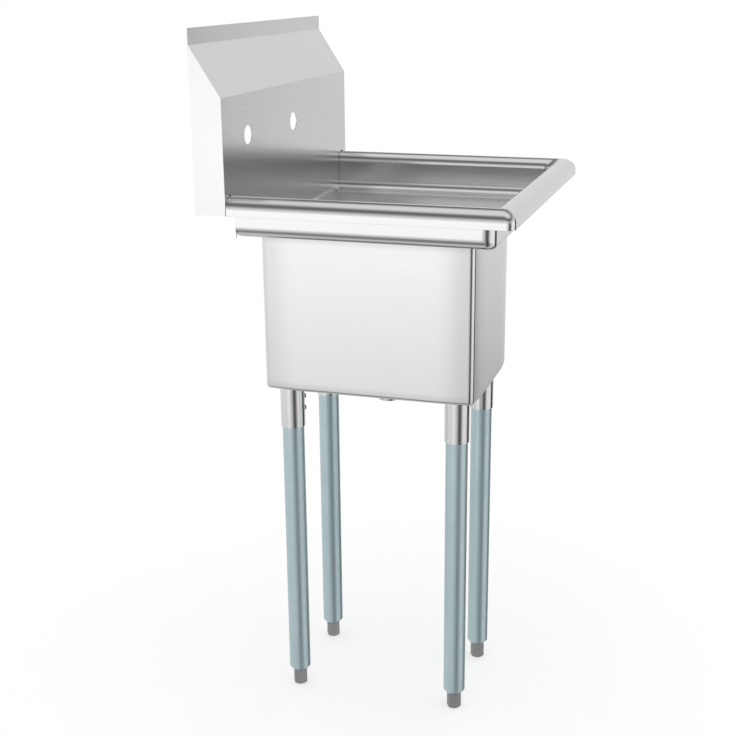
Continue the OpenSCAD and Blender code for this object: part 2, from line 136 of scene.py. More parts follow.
class FinishNodes(Nodes):
    """The node tree of one finish, whose patterns lie on the object's own coordinates."""

    def __init__(self, name: str) -> None:
        """Makes an empty material.

        Args:
            name: Its name.
        """
        self.material = bpy.data.materials.new(name)
        self.material.use_nodes = True
        super().__init__(self.material.node_tree)
        self.place = self.add("TexCoord").outputs["Object"]

    def cloud(self, size: float, detail: float, roughness: float = 0.5) -> Socket:
        """Noise from 0 to 1 in patches of a size, with as many finer layers as its detail says."""
        return self.add("TexNoise", {
            "Vector": self.place, "Scale": 1 / size, "Detail": detail, "Roughness": roughness}).outputs["Fac"]

    def scratches(self, stretch: tuple[float, float, float]) -> Socket:
        """Noise from 0 to 1 with so many scratches to a metre along X, Y and Z."""
        drawn = self.add("Mapping", {"Vector": self.place, "Scale": stretch}).outputs[0]
        return self.add("TexNoise", {"Vector": drawn, "Scale": 1.0, "Detail": 2.0}).outputs["Fac"]

    def blend(self, share: Socket, first: str, second: str) -> Socket:
        """Mixes two sRGB colours by the second one's share."""
        return self.add("Mix", {
            0: share, 6: linear(first), 7: linear(second)}, data_type="RGBA").outputs[2]

    def vary(self, value: Socket, low: float, high: float, middle: float, spread: float) -> Socket:
        """Takes a number from a spread below its middle to one above, as a pattern goes from low to high."""
        return self.add("MapRange", {
            0: value, 1: low, 2: high, 3: middle - spread, 4: middle + spread}).outputs[0]

    def tooth(self, grain: Socket, height: float, strength: float) -> Socket:
        """Roughens the surface by a pattern of a height, of which a share shows."""
        return self.add("Bump", {
            "Strength": strength, "Distance": height, "Height": grain}).outputs["Normal"]

    def done(self, inputs: dict) -> Material:
        """Feeds the surface shader.

        Args:
            inputs: What each of its inputs gets.

        Returns:
            The finished material.
        """
        shader = self.add("BsdfPrincipled", inputs)
        self.add("OutputMaterial", {"Surface": shader.outputs[0]})
        return self.material


@dataclass(frozen=True)
class BrushedStainless:
    """Cold-rolled 304 stainless sheet, belt-brushed with about 180 grit and bent.

    The belt leaves parallel scratches that the eye reads as a soft, slightly uneven blur of the
    reflections, longer across the scratches than along them. Handling leaves faint cloudy smears.
    The real scratches are 0.05 mm apart, too fine to show, so they are drawn 2 mm apart.
    """

    name: str
    grain: Grain = Grain.ALONG_WIDTH
    roughness: float = 0.15
    unevenness: float = 0.015
    colour: str = "#dededd"
    dull: str = "#dadada"
    scratch_pitch: float = 2 * MM
    scratch_length: float = 110 * MM
    smear_size: float = 90 * MM

    def build(self) -> Material:
        """Returns the finish as a node material."""
        nodes = FinishNodes(self.name)
        fine, long = 1 / self.scratch_pitch, 1 / self.scratch_length
        stretches = {Grain.ALONG_WIDTH: (long, fine, fine), Grain.ALONG_DEPTH: (fine, long, fine)}
        if self.grain is Grain.BY_FACE:
            width, depth = (nodes.scratches(stretch) for stretch in stretches.values())
            normal = nodes.add("NewGeometry").outputs["Normal"]
            across = nodes.add("SeparateXYZ", {0: normal}).outputs[0]
            share = nodes.maths("ABSOLUTE", across)
            scratch = nodes.add("Mix", {0: share, 2: width, 3: depth}).outputs[0]
        else:
            scratch = nodes.scratches(stretches[self.grain])
        both = nodes.maths("ADD", scratch, nodes.cloud(self.smear_size, 3.0, 0.6))
        return nodes.done({
            "Base Color": nodes.blend(scratch, self.colour, self.dull), "Metallic": 1.0,
            "Roughness": nodes.vary(both, 0.7, 1.3, self.roughness, self.unevenness)})


@dataclass(frozen=True)
class MottledMetal:
    """A metal part whose coating or casting clouds it in soft patches.

    Zinc settles in patches a few centimetres long on a pipe and in a fine grain on small fittings.
    """

    name: str
    colour: str
    patch_colour: str
    roughness: float
    patch_size: float
    metallic: float = 1.0
    bump_size: float = 1.5 * MM
    bump_height: float = 0.02 * MM

    def build(self) -> Material:
        """Returns the finish as a node material."""
        nodes = FinishNodes(self.name)
        patch = nodes.cloud(self.patch_size, 5.0, 0.65)
        return nodes.done({
            "Base Color": nodes.blend(patch, self.colour, self.patch_colour), "Metallic": self.metallic,
            "Roughness": nodes.vary(patch, 0.3, 0.7, self.roughness, 0.05),
            "Normal": nodes.tooth(nodes.cloud(self.bump_size, 3.0), self.bump_height, 0.3)})


@dataclass(frozen=True)
class DullSolid:
    """Moulded rubber or pressed fibre: no shine, a fine tooth and a slight bloom of lighter dust."""

    name: str
    colour: str
    bloom: str
    roughness: float
    bloom_size: float = 12 * MM
    tooth_size: float = 0.8 * MM
    tooth_height: float = 0.05 * MM

    def build(self) -> Material:
        """Returns the finish as a node material."""
        nodes = FinishNodes(self.name)
        dust = nodes.cloud(self.bloom_size, 6.0, 0.7)
        return nodes.done({
            "Base Color": nodes.blend(dust, self.colour, self.bloom), "Roughness": self.roughness, "IOR": 1.5,
            "Normal": nodes.tooth(nodes.cloud(self.tooth_size, 2.0), self.tooth_height, 0.4)})


@dataclass
class Patch:
    """A grid of points, rows by columns, with flat caps where its first or last row is closed.

    Its faces look along the columns' direction crossed with the rows' direction.
    """

    points: np.ndarray
    wrap: bool = True
    cap_first: bool = False
    cap_last: bool = False
    lining: bool = False

    def faces(self, start: int) -> list[list[int]]:
        """Lists the patch's faces.

        Args:
            start: The index of the patch's first point in the mesh.

        Returns:
            The quads, row by row, and then the caps.
        """
        rows, columns = self.points.shape[:2]
        index = start + np.arange(rows * columns).reshape(rows, columns)
        ring = np.concatenate([index, index[:, :1]], axis=1) if self.wrap else index
        quads = np.stack([ring[:-1, :-1], ring[:-1, 1:], ring[1:, 1:], ring[1:, :-1]], axis=-1)
        found = quads.reshape(-1, 4).tolist()
        if self.cap_first:
            found.append(index[0, ::-1].tolist())
        if self.cap_last:
            found.append(index[-1].tolist())
        return found


@dataclass
class Trim:
    """A piece made of patches that rides on a body of the frame, the sink unless told otherwise.

    A web is a flat sheet between an outer ring and the rings of its holes. The patches marked as
    lining, and the first web, have the lining's finish where the piece has one.
    """

    name: str
    slot: str
    material: Material
    sharp_degrees: float = 35.0
    replaces: tuple[str, ...] = ()
    patches: list[Patch] = field(default_factory=list)
    webs: list[list[np.ndarray]] = field(default_factory=list)
    lining: Material | None = None
    body: str = "sink"
    weld_distance: float = 0.002 * MM

    def build(self) -> bpy.types.Object:
        """Puts the patches into one mesh, which lies in the frame's own coordinates.

        Returns:
            The new object.
        """
        starts = np.cumsum([0] + [patch.points.shape[0] * patch.points.shape[1] for patch in self.patches])
        points = np.concatenate([patch.points.reshape(-1, 3) for patch in self.patches])
        faces, marks = [], []
        for start, patch in zip(starts, self.patches):
            found = patch.faces(int(start))
            faces += found
            marks += [int(patch.lining)] * len(found)
        for order, rings in enumerate(self.webs):
            found = tessellate_polygon([[Vector(point) for point in ring.tolist()] for ring in rings])
            faces += (np.array(found) + len(points)).tolist()
            marks += [int(order == 0)] * len(found)
            points = np.concatenate([points] + rings)
        mesh = bpy.data.meshes.new(self.name)
        mesh.from_pydata(points.tolist(), [], faces)
        if self.lining:
            mesh.polygons.foreach_set("material_index", marks)
        shell = bmesh.new()
        shell.from_mesh(mesh)
        bmesh.ops.remove_doubles(shell, verts=shell.verts, dist=self.weld_distance)
        shell.to_mesh(mesh)
        shell.free()
        mesh.shade_smooth()
        mesh.set_sharp_from_angle(angle=math.radians(self.sharp_degrees))
        for finish in (self.material, self.lining):
            if finish:
                mesh.materials.append(finish)
        piece = bpy.data.objects.new(self.name, mesh)
        bpy.context.scene.collection.objects.link(piece)
        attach(piece, self.body)
        if self.replaces:
            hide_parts(*self.replaces)
        log.info("%s: %d points, %d faces, on %s", self.name, len(points), len(faces), self.body)
        return piece


def around(count: int) -> np.ndarray:
    """Returns count angles, evenly spaced once round."""
    return np.linspace(0.0, 2 * np.pi, count, endpoint=False)


def turned(radius: np.ndarray, height: np.ndarray, count: int) -> np.ndarray:
    """A profile turned about Z: (radius cos a, radius sin a, height), where a goes once round.

    Args:
        radius: The profile's radii, one per row, or one per row and column.
        height: Its heights, in the same way.
        count: How many columns go round.

    Returns:
        The points, rows by count by 3.
    """
    angle = around(count)[None, :]
    radius = np.atleast_2d(radius.T).T * np.ones_like(angle)
    height = np.atleast_2d(height.T).T * np.ones_like(angle)
    return np.stack([radius * np.cos(angle), radius * np.sin(angle), height], axis=-1)


def raised(plan: np.ndarray, height: np.ndarray) -> np.ndarray:
    """Lifts rows of plan points to their heights, one for each row."""
    z = np.broadcast_to(height[:, None, None], plan.shape[:2] + (1,))
    return np.concatenate([plan, z], axis=-1)


def hexagon(angle: np.ndarray, across_flats: float) -> np.ndarray:
    """The radius of a hexagon at each angle: half its width over the cosine of the turn off a flat."""
    off = (angle + np.pi / 6) % (np.pi / 3) - np.pi / 6
    return across_flats / 2 / np.cos(off)


def resampled(path: np.ndarray, step: float) -> np.ndarray:
    """Spreads points evenly along a path.

    Args:
        path: The path's points, count by 3.
        step: The distance between the new points.

    Returns:
        The new points, from the path's first to its last.
    """
    length = np.concatenate([[0.0], np.cumsum(np.linalg.norm(np.diff(path, axis=0), axis=1))])
    places = np.linspace(0.0, length[-1], max(int(length[-1] / step), 2) + 1)
    return np.stack([np.interp(places, length, path[:, axis]) for axis in range(3)], axis=-1)


def bead(path: np.ndarray, radius: np.ndarray, side: np.ndarray, closed: bool = False) -> Patch:
    """A round bead along a flat path.

    Each ring is the path's point plus radius times (cos b toward the inside of the bend, sin b
    along the side that the whole path shares), where b goes once round in 8 steps.

    Args:
        path: The points, evenly spaced, count by 3.
        radius: The bead's radius at each point.
        side: The unit vector square to the path's plane.
        closed: Whether the path ends where it starts; its last point is then left out.

    Returns:
        The bead's patch, with capped ends if it is open.
    """
    if closed:
        ahead = np.roll(path, -1, axis=0) - np.roll(path, 1, axis=0)
    else:
        ahead = np.gradient(path, axis=0)
    ahead /= np.linalg.norm(ahead, axis=1, keepdims=True)
    across = np.cross(side, ahead)
    turn = around(8)[None, :, None]
    rings = path[:, None] + radius[:, None, None] * (np.cos(turn) * across[:, None] + np.sin(turn) * side)
    if closed:
        rings = np.concatenate([rings, rings[:1]], axis=0)
    return Patch(rings, cap_first=not closed, cap_last=not closed)


def fillet_weld(path: np.ndarray, radius: float, drops: np.ndarray) -> Patch:
    """A level bead round a joint, whose radius swells as the cosine of the drops laid, in radians."""
    ripple = 0.15 * MM
    return bead(path, radius + ripple * np.cos(drops), UP, True)


def arc(centre: tuple[float, float], radius: float, start: float, end: float, count: int) -> np.ndarray:
    """Points on a plane arc between two angles in degrees: its centre plus radius times (cos, sin)."""
    angle = np.radians(np.linspace(start, end, count))
    return np.stack([centre[0] + radius * np.cos(angle), centre[1] + radius * np.sin(angle)], axis=-1)


def rounded(profile: np.ndarray, radius: float, count: int = 5) -> np.ndarray:
    """Rounds the corners of a closed profile.

    Each corner V becomes the curve (1-s)^2 A + 2 s (1-s) V + s^2 B, where A and B lie on the
    corner's two sides, a radius away from it or just under half a side.

    Args:
        profile: The corners, count by 2, turning left all the way round.
        radius: How far from its corner each curve starts.
        count: How many points each curve has.

    Returns:
        The rounded profile, with its first point again at its end.
    """
    share = np.linspace(0.0, 1.0, count)[None, :, None]
    ends = []
    for turn in (1, -1):
        side = np.roll(profile, turn, axis=0) - profile
        length = np.linalg.norm(side, axis=1, keepdims=True)
        ends.append(profile + side / length * np.minimum(radius, 0.48 * length))
    curve = ((1 - share) ** 2 * ends[0][:, None] + 2 * share * (1 - share) * profile[:, None]
             + share ** 2 * ends[1][:, None]).reshape(-1, 2)
    return np.concatenate([curve, curve[:1]])


def thread(low: float, high: float, crest: float, pitch: float, depth: float,
           count: int) -> tuple[np.ndarray, np.ndarray]:
    """A screw thread as radii on a grid of heights and angles, with 8 rows to a turn.

    The radius is the crest's, less the depth times a triangle wave of height / pitch - angle / 2 pi,
    and the wave dies out over the first and last turn.

    Args:
        low: The height where the thread starts.
        high: The height where it ends.
        crest: The thread's outer radius.
        pitch: The height of one turn.
        depth: How far the root lies below the crest.
        count: How many columns go round.

    Returns:
        The radii, rows by count, and the heights of the rows.
    """
    height = np.linspace(low, high, int((high - low) / pitch * 8) + 1)
    phase = (height[:, None] / pitch - around(count)[None, :] / (2 * np.pi)) % 1.0
    wave = 1 - np.abs(2 * phase - 1)
    fade = np.clip(np.minimum(height - low, high - height) / pitch, 0.0, 1.0)[:, None]
    return crest - depth * wave * fade, height


def corner_points(half_l: np.ndarray, front: np.ndarray, radius: np.ndarray, back: float,
                  turns: int) -> np.ndarray:
    """Plan outlines from the back round both front corners, two quarter circles, to the back again.

    A straight run has a point 1 mm from each corner, which keeps the corner's smooth shading off it,
    and no others.

    Args:
        half_l: Half of each outline's length along X.
        front: Each outline's front, along Y.
        radius: Each outline's corner radius.
        back: Where the outlines end, along Y.
        turns: How many points a corner has.

    Returns:
        The points, outlines by columns by 2.
    """
    guard = 1 * MM
    angle = np.linspace(0.0, np.pi / 2, turns)[None, :]
    half_l, front, radius = half_l[:, None], front[:, None], radius[:, None]
    bend_x = -half_l + radius * (1 - np.cos(angle))
    bend_y = front + radius * (1 - np.sin(angle))
    left_x = np.concatenate([-half_l, bend_x, bend_x[:, -1:] + guard], axis=1)
    left_y = np.concatenate([bend_y[:, :1] + guard, bend_y, front], axis=1)
    end = np.full_like(half_l, back)
    x = np.concatenate([-half_l, left_x, -left_x[:, ::-1], half_l], axis=1)
    y = np.concatenate([end, left_y, left_y[:, ::-1], end], axis=1)
    return np.stack([x, y], axis=-1)


@dataclass
class RolledRim:
    """The rim rolled out of the pan's walls and folded under, its front corners welded and ground.

    Seen from above, the corner of the outer face has one radius up to near the crest of the roll,
    is close to sharp at the crest, and grows again down to the round corner of the pan.
    """

    half_l: float
    front: float
    back: float
    top: float
    bottom: float
    sheet: Material
    weld_finish: Material
    width: float = 39 * MM
    outer_r: float = 21 * MM
    hem: float = 8 * MM
    burr: float = 0.3 * MM
    guard: float = 0.5 * MM
    corner_r: float = 12.5 * MM
    corner_reach: float = 11 * MM
    crest_corner_r: float = 2.5 * MM
    pan_corner_r: float = 19 * MM
    bead_r: float = 0.6 * MM
    bead_step: float = 1 * MM
    bead_sunk: float = 0.1 * MM
    blob_r: float = 1.9 * MM
    blob_sunk: float = 0.3 * MM
    blob_rise: float = 0.5 * MM
    slack: float = 0.001 * MM
    turns: int = 17
    steps: int = 16

    @property
    def seam_z(self) -> float:
        """The height where the roll goes over into the pan's wall."""
        return self.top - self.width + self.outer_r

    def skins(self) -> tuple[np.ndarray, np.ndarray]:
        """Works out the roll's section: two quarter circles over a straight skirt with a hem.

        Returns:
            The outer and the inner skin, each count by 2, as distance inward and height.
        """
        inner_r = self.width - self.outer_r
        shoulder_z = self.top - self.outer_r
        found = []
        for depth, burr_x in ((0.0, self.burr), (SHEET, SHEET)):
            low = self.bottom + depth
            skirt = np.array([[self.hem, low], [burr_x, low], [depth, low + self.burr],
                              [depth, shoulder_z - self.guard]])
            over = arc((self.outer_r, shoulder_z), self.outer_r - depth, 180, 90, self.steps)
            down = arc((self.outer_r, self.seam_z), inner_r - depth, 90, 0, self.steps)
            found.append(np.concatenate([skirt, over, down[1:]]))
        return found[0], found[1]

    def surface(self, skin: np.ndarray) -> np.ndarray:
        """Carries a skin's section round the plan.

        Args:
            skin: The section, as distance inward and height.

        Returns:
            The points, rows by columns by 3.
        """
        inward, height = skin.T
        radius = np.interp(inward, [0.0, self.corner_reach, self.outer_r, self.width],
                           [self.corner_r, self.corner_r, self.crest_corner_r, self.pan_corner_r])
        plan = corner_points(self.half_l - inward, self.front + inward, radius, self.back, self.turns)
        return raised(plan, height)

    def build(self) -> None:
        """Makes the rim in place of its CAD pieces."""
        outer, inner = (self.surface(skin) for skin in self.skins())
        shell = np.concatenate([outer, inner[::-1], outer[:1]])
        left_end = np.stack([outer[:, 0], inner[:, 0]])
        right_end = np.stack([inner[:, -1], outer[:, -1]])
        Trim("rolled_rim", "stainless_sheet", self.sheet, 30.0, ("rim_left", "rim_front", "rim_right"),
             [Patch(shell, wrap=False), Patch(left_end, wrap=False), Patch(right_end, wrap=False)]).build()

    def seams(self, pan_floor: float) -> None:
        """Makes the ground welds where the rim and the pan's ends meet the backsplash.

        One thin bead follows the roll's section from the skirt to the crest, where it ends in a
        blob, and another runs down the pan's corner to its floor.

        Args:
            pan_floor: The height of the pan's floor.
        """
        skin = self.skins()[0]
        to_crest = skin[skin[:, 0] <= self.outer_r + self.slack]
        above_hem = self.surface(to_crest[2:])
        fall = np.linspace(0.05, 3.09, 9)
        blob = turned(self.blob_r * np.sin(fall), -self.blob_r * np.cos(fall), 16)
        for name, column, sign in (("left", 0, -1.0), ("right", -1, 1.0)):
            over = resampled(above_hem[:, column], self.bead_step) - TO_WALL * self.bead_sunk
            x = sign * (self.half_l - self.width)
            down = resampled(np.array([[x, self.back, self.top], [x, self.back, pan_floor]]), self.bead_step)
            patches = [bead(line, np.full(len(line), self.bead_r), TO_WALL) for line in (over, down)]
            crest = np.array([sign * (self.half_l - self.outer_r), self.back - self.blob_sunk,
                              self.top + self.blob_rise])
            patches.append(Patch(blob + crest, cap_first=True, cap_last=True))
            Trim(f"ground_weld_{name}", "stainless_sheet", self.weld_finish, 60.0, (), patches).build()


@dataclass
class PressedPan:
    """The pan, pressed from one sheet: a drainboard and the bowl's surround, with a cove all round.

    At a height h above the floor, a cove of radius c has drawn in by c less the root of c squared
    less (c - h) squared, measured along the wall's normal. The ends have a large cove and the long
    sides a small one; in a round front corner the cove goes over from one to the other.
    """

    sheet: Material
    lining: Material
    half_l: float = 253 * MM
    front: float = -215 * MM
    back: float = 203 * MM
    deck: float = DECK_Z
    top: float = 886 * MM
    corner_r: float = 19 * MM
    end_cove: float = 16 * MM
    long_cove: float = 7 * MM
    back_run: float = 20 * MM
    guard: float = 0.5 * MM
    turns: int = 21

    def outline(self, skin: float) -> tuple[np.ndarray, np.ndarray, np.ndarray]:
        """Works out the wall's outline, once round leftwards from the left of the back.

        Args:
            skin: How far outside the inner skin it lies.

        Returns:
            The points, the directions that the coves draw in from and the coves' radii along X and Y,
            each columns by 2.
        """
        angle = np.linspace(0.0, np.pi / 2, self.turns)
        normal = np.stack([-np.cos(angle), -np.sin(angle)], axis=-1)
        corner = np.array([-self.half_l, self.front]) + self.corner_r
        bend = corner + (self.corner_r + skin) * normal
        blend = self.end_cove * np.cos(angle) ** 2 + self.long_cove * np.sin(angle) ** 2
        low, high = bend[:1] + [[0.0, self.guard]], bend[-1:] + [[self.guard, 0.0]]
        coves = np.repeat(np.concatenate([blend[:1], blend, blend[-1:]])[:, None], 2, axis=1)
        end, back = -self.half_l - skin, self.back + skin
        flip = np.array([-1.0, 1.0])
        points = np.concatenate([[[end, back]], [[end, back - self.back_run]], low, bend, high])
        normals = np.concatenate([[[-1.0, 1.0]], [[-1.0, 0.0]], normal[:1], normal, normal[-1:]])
        coves = np.concatenate([[[self.end_cove, self.long_cove]], [[self.end_cove, self.end_cove]], coves])
        points = np.concatenate([points, points[::-1] * flip])
        normals = np.concatenate([normals, normals[::-1] * flip])
        return points, normals, np.concatenate([coves, coves[::-1]]) + skin

    def skin(self, skin: float) -> np.ndarray:
        """One skin of the walls and coves, from the top down to the floor's edge.

        Args:
            skin: How far outside the inner skin it lies.

        Returns:
            The points, rows by columns by 3.
        """
        points, normals, coves = self.outline(skin)
        floor = self.deck - skin
        turns = [radius * (1 - np.sin(np.linspace(0.0, np.pi / 2, count)))
                 for radius, count in ((self.end_cove + skin, 19), (self.long_cove + skin, 10))]
        rise = np.unique(np.round(np.concatenate(turns), 7))[::-1]
        rise = np.concatenate([[self.top - floor, self.end_cove + skin + self.guard], rise])
        gap = np.clip(coves[None] - rise[:, None, None], 0.0, None)
        inset = coves[None] - np.sqrt(np.clip(coves[None] ** 2 - gap ** 2, 0.0, None))
        edge = inset[-1:] + self.guard
        plan = points[None] - normals[None] * np.concatenate([inset, edge])
        return raised(plan, floor + np.concatenate([rise, [0.0]]))

    def build(self, mouth: np.ndarray) -> None:
        """Makes the pan in place of its CAD piece.

        Args:
            mouth: The outline of the bowl's mouth, columns by 2.
        """
        inner, outer = self.skin(0.0), self.skin(SHEET)
        holes = raised(np.stack([mouth, mouth]), np.array([self.deck, self.deck - SHEET]))
        edge = np.stack([outer[0], inner[0]])
        Trim("pressed_pan", "stainless_sheet", self.sheet, 30.0, ("deck_pan",),
             [Patch(inner, lining=True), Patch(outer[::-1]), Patch(edge), Patch(holes)],
             [[inner[-1], holes[0]], [outer[-1], holes[1]]], self.lining).build()


@dataclass
class PressedBowl:
    """The deep bowl, pressed from one sheet, with walls that swell a little between their corners.

    A point of its outline is a point of a core rectangle plus (corner radius + outset) times the
    outward normal there, so that one outline serves the mouth, the walls and the coves.
    """

    sheet: Material
    lining: Material
    weld_finish: Material
    half_l: float = 127 * MM
    half_w: float = 178 * MM
    corner_r: float = 9.5 * MM
    cove_r: float = 6 * MM
    mouth_r: float = 6 * MM
    bottom: float = BOWL_BOTTOM_Z
    deck: float = DECK_Z
    dish_r: float = 80 * MM
    dish_drop: float = 4 * MM
    flat_r: float = 56 * MM
    hole_r: float = 41.3 * MM
    swell: float = 3.8 * MM
    swell_reach: float = 58 * MM
    weld_r: float = 1.3 * MM
    weld_sunk: float = 0.3 * MM
    weld_step: float = 0.6 * MM
    weld_drop: float = 2.4 * MM
    side_points: int = 26
    turns: int = 9

    def core(self) -> tuple[np.ndarray, np.ndarray]:
        """Works out the core rectangle's points and the normals there, once round leftwards.

        Returns:
            The points and the normals, each columns by 2.
        """
        signs = np.array([[1, -1], [1, 1], [-1, 1], [-1, -1]])
        corners = signs * np.array([self.half_l - self.corner_r, self.half_w - self.corner_r])
        starts = np.radians(np.array([-90.0, 0.0, 90.0, 180.0]))
        angle = starts[:, None] + np.linspace(0, np.pi / 2, self.turns)
        bend = np.stack([np.cos(angle), np.sin(angle)], axis=-1)
        held = np.broadcast_to(corners[:, None], bend.shape)
        share = np.linspace(0.0, 1.0, self.side_points + 2)[None, 1:-1, None]
        run = corners[:, None] * (1 - share) + np.roll(corners, -1, axis=0)[:, None] * share
        face = np.broadcast_to(bend[:, -1:], run.shape)
        points = np.concatenate([held, run], axis=1).reshape(-1, 2)
        return points, np.concatenate([bend, face], axis=1).reshape(-1, 2)

    def outline(self, outset: np.ndarray) -> np.ndarray:
        """Works out the walls' outline at each row, about the bowl's own middle.

        A wall's swelling is full in its middle and falls off as a square to its two ends.

        Args:
            outset: How far outside the unswollen walls each row lies.

        Returns:
            The points, rows by columns by 2.
        """
        core, normal = self.core()
        facing_x = np.abs(normal[:, 0]) > 0.5
        along = np.where(facing_x, np.abs(core[:, 1]), np.abs(core[:, 0]))
        end = np.where(facing_x, self.half_w, self.half_l) - self.corner_r
        swelling = self.swell * (1 - np.clip((along - end) / self.swell_reach + 1, 0.0, 1.0) ** 2)
        reach = self.corner_r + outset[:, None] + swelling[None]
        return core[None] + reach[..., None] * normal[None]

    def skin(self, depth: float) -> np.ndarray:
        """One skin of the bowl, from the drain hole out over the floor and up to the mouth.

        Args:
            depth: How far the skin lies inside the outer one.

        Returns:
            The points, rows by columns by 3.
        """
        mouth_z = self.deck - self.mouth_r
        cove = arc((-self.cove_r, self.bottom + self.cove_r), self.cove_r - depth, -90, 0, 8)
        walls = np.linspace(self.bottom + self.cove_r, mouth_z, 26)[1:-1]
        wall = np.stack([np.full_like(walls, -depth), walls], axis=-1)
        mouth = arc((self.mouth_r - SHEET, mouth_z), self.mouth_r - SHEET + depth, 180, 90, 8)
        outset, height = np.concatenate([cove, wall, mouth]).T
        sides = self.outline(outset)
        rise = np.linspace(0.0, 1.0, 9)
        radius = np.concatenate([[self.hole_r], self.flat_r + (self.dish_r - self.flat_r) * rise])
        fall = np.concatenate([[1.0], 1 - rise ** 2 * (3 - 2 * rise)])
        turn = np.arctan2(sides[0, :, 1], sides[0, :, 0])
        rings = radius[:, None, None] * np.stack([np.cos(turn), np.sin(turn)], axis=-1)[None]
        ring_z = self.bottom + depth - self.dish_drop * fall
        plan = np.concatenate([rings, sides]) + np.array(BOWL_CENTRE)
        return raised(plan, np.concatenate([ring_z, height]))

    def build(self) -> None:
        """Makes the bowl in place of its CAD piece."""
        outer, inner = self.skin(0.0), self.skin(SHEET)
        outside = Patch(np.concatenate([outer, inner[-1:]]))
        inside = Patch(np.concatenate([inner[::-1], outer[:1]]), lining=True)
        Trim("pressed_bowl", "stainless_sheet", self.sheet, 40.0, ("bowl",), [outside, inside], [],
             self.lining).build()

    def mouth(self, outset: float) -> np.ndarray:
        """Works out the outline of the mouth at an outset from the walls, columns by 2."""
        return self.outline(np.array([outset]))[0] + np.array(BOWL_CENTRE)

    def weld(self) -> None:
        """Makes the bead that joins the mouth to the pan from below."""
        plan = self.mouth(self.mouth_r - SHEET / 2)
        ring = raised(plan[None], np.array([self.deck - SHEET - self.weld_sunk]))[0]
        path = resampled(np.concatenate([ring, ring[:1]]), self.weld_step)[:-1]
        drops = 2 * np.pi * np.arange(len(path)) * self.weld_step / self.weld_drop
        Trim("bowl_weld", "stainless_sheet", self.weld_finish, 60.0, (),
             [fillet_weld(path, self.weld_r, drops)]).build()


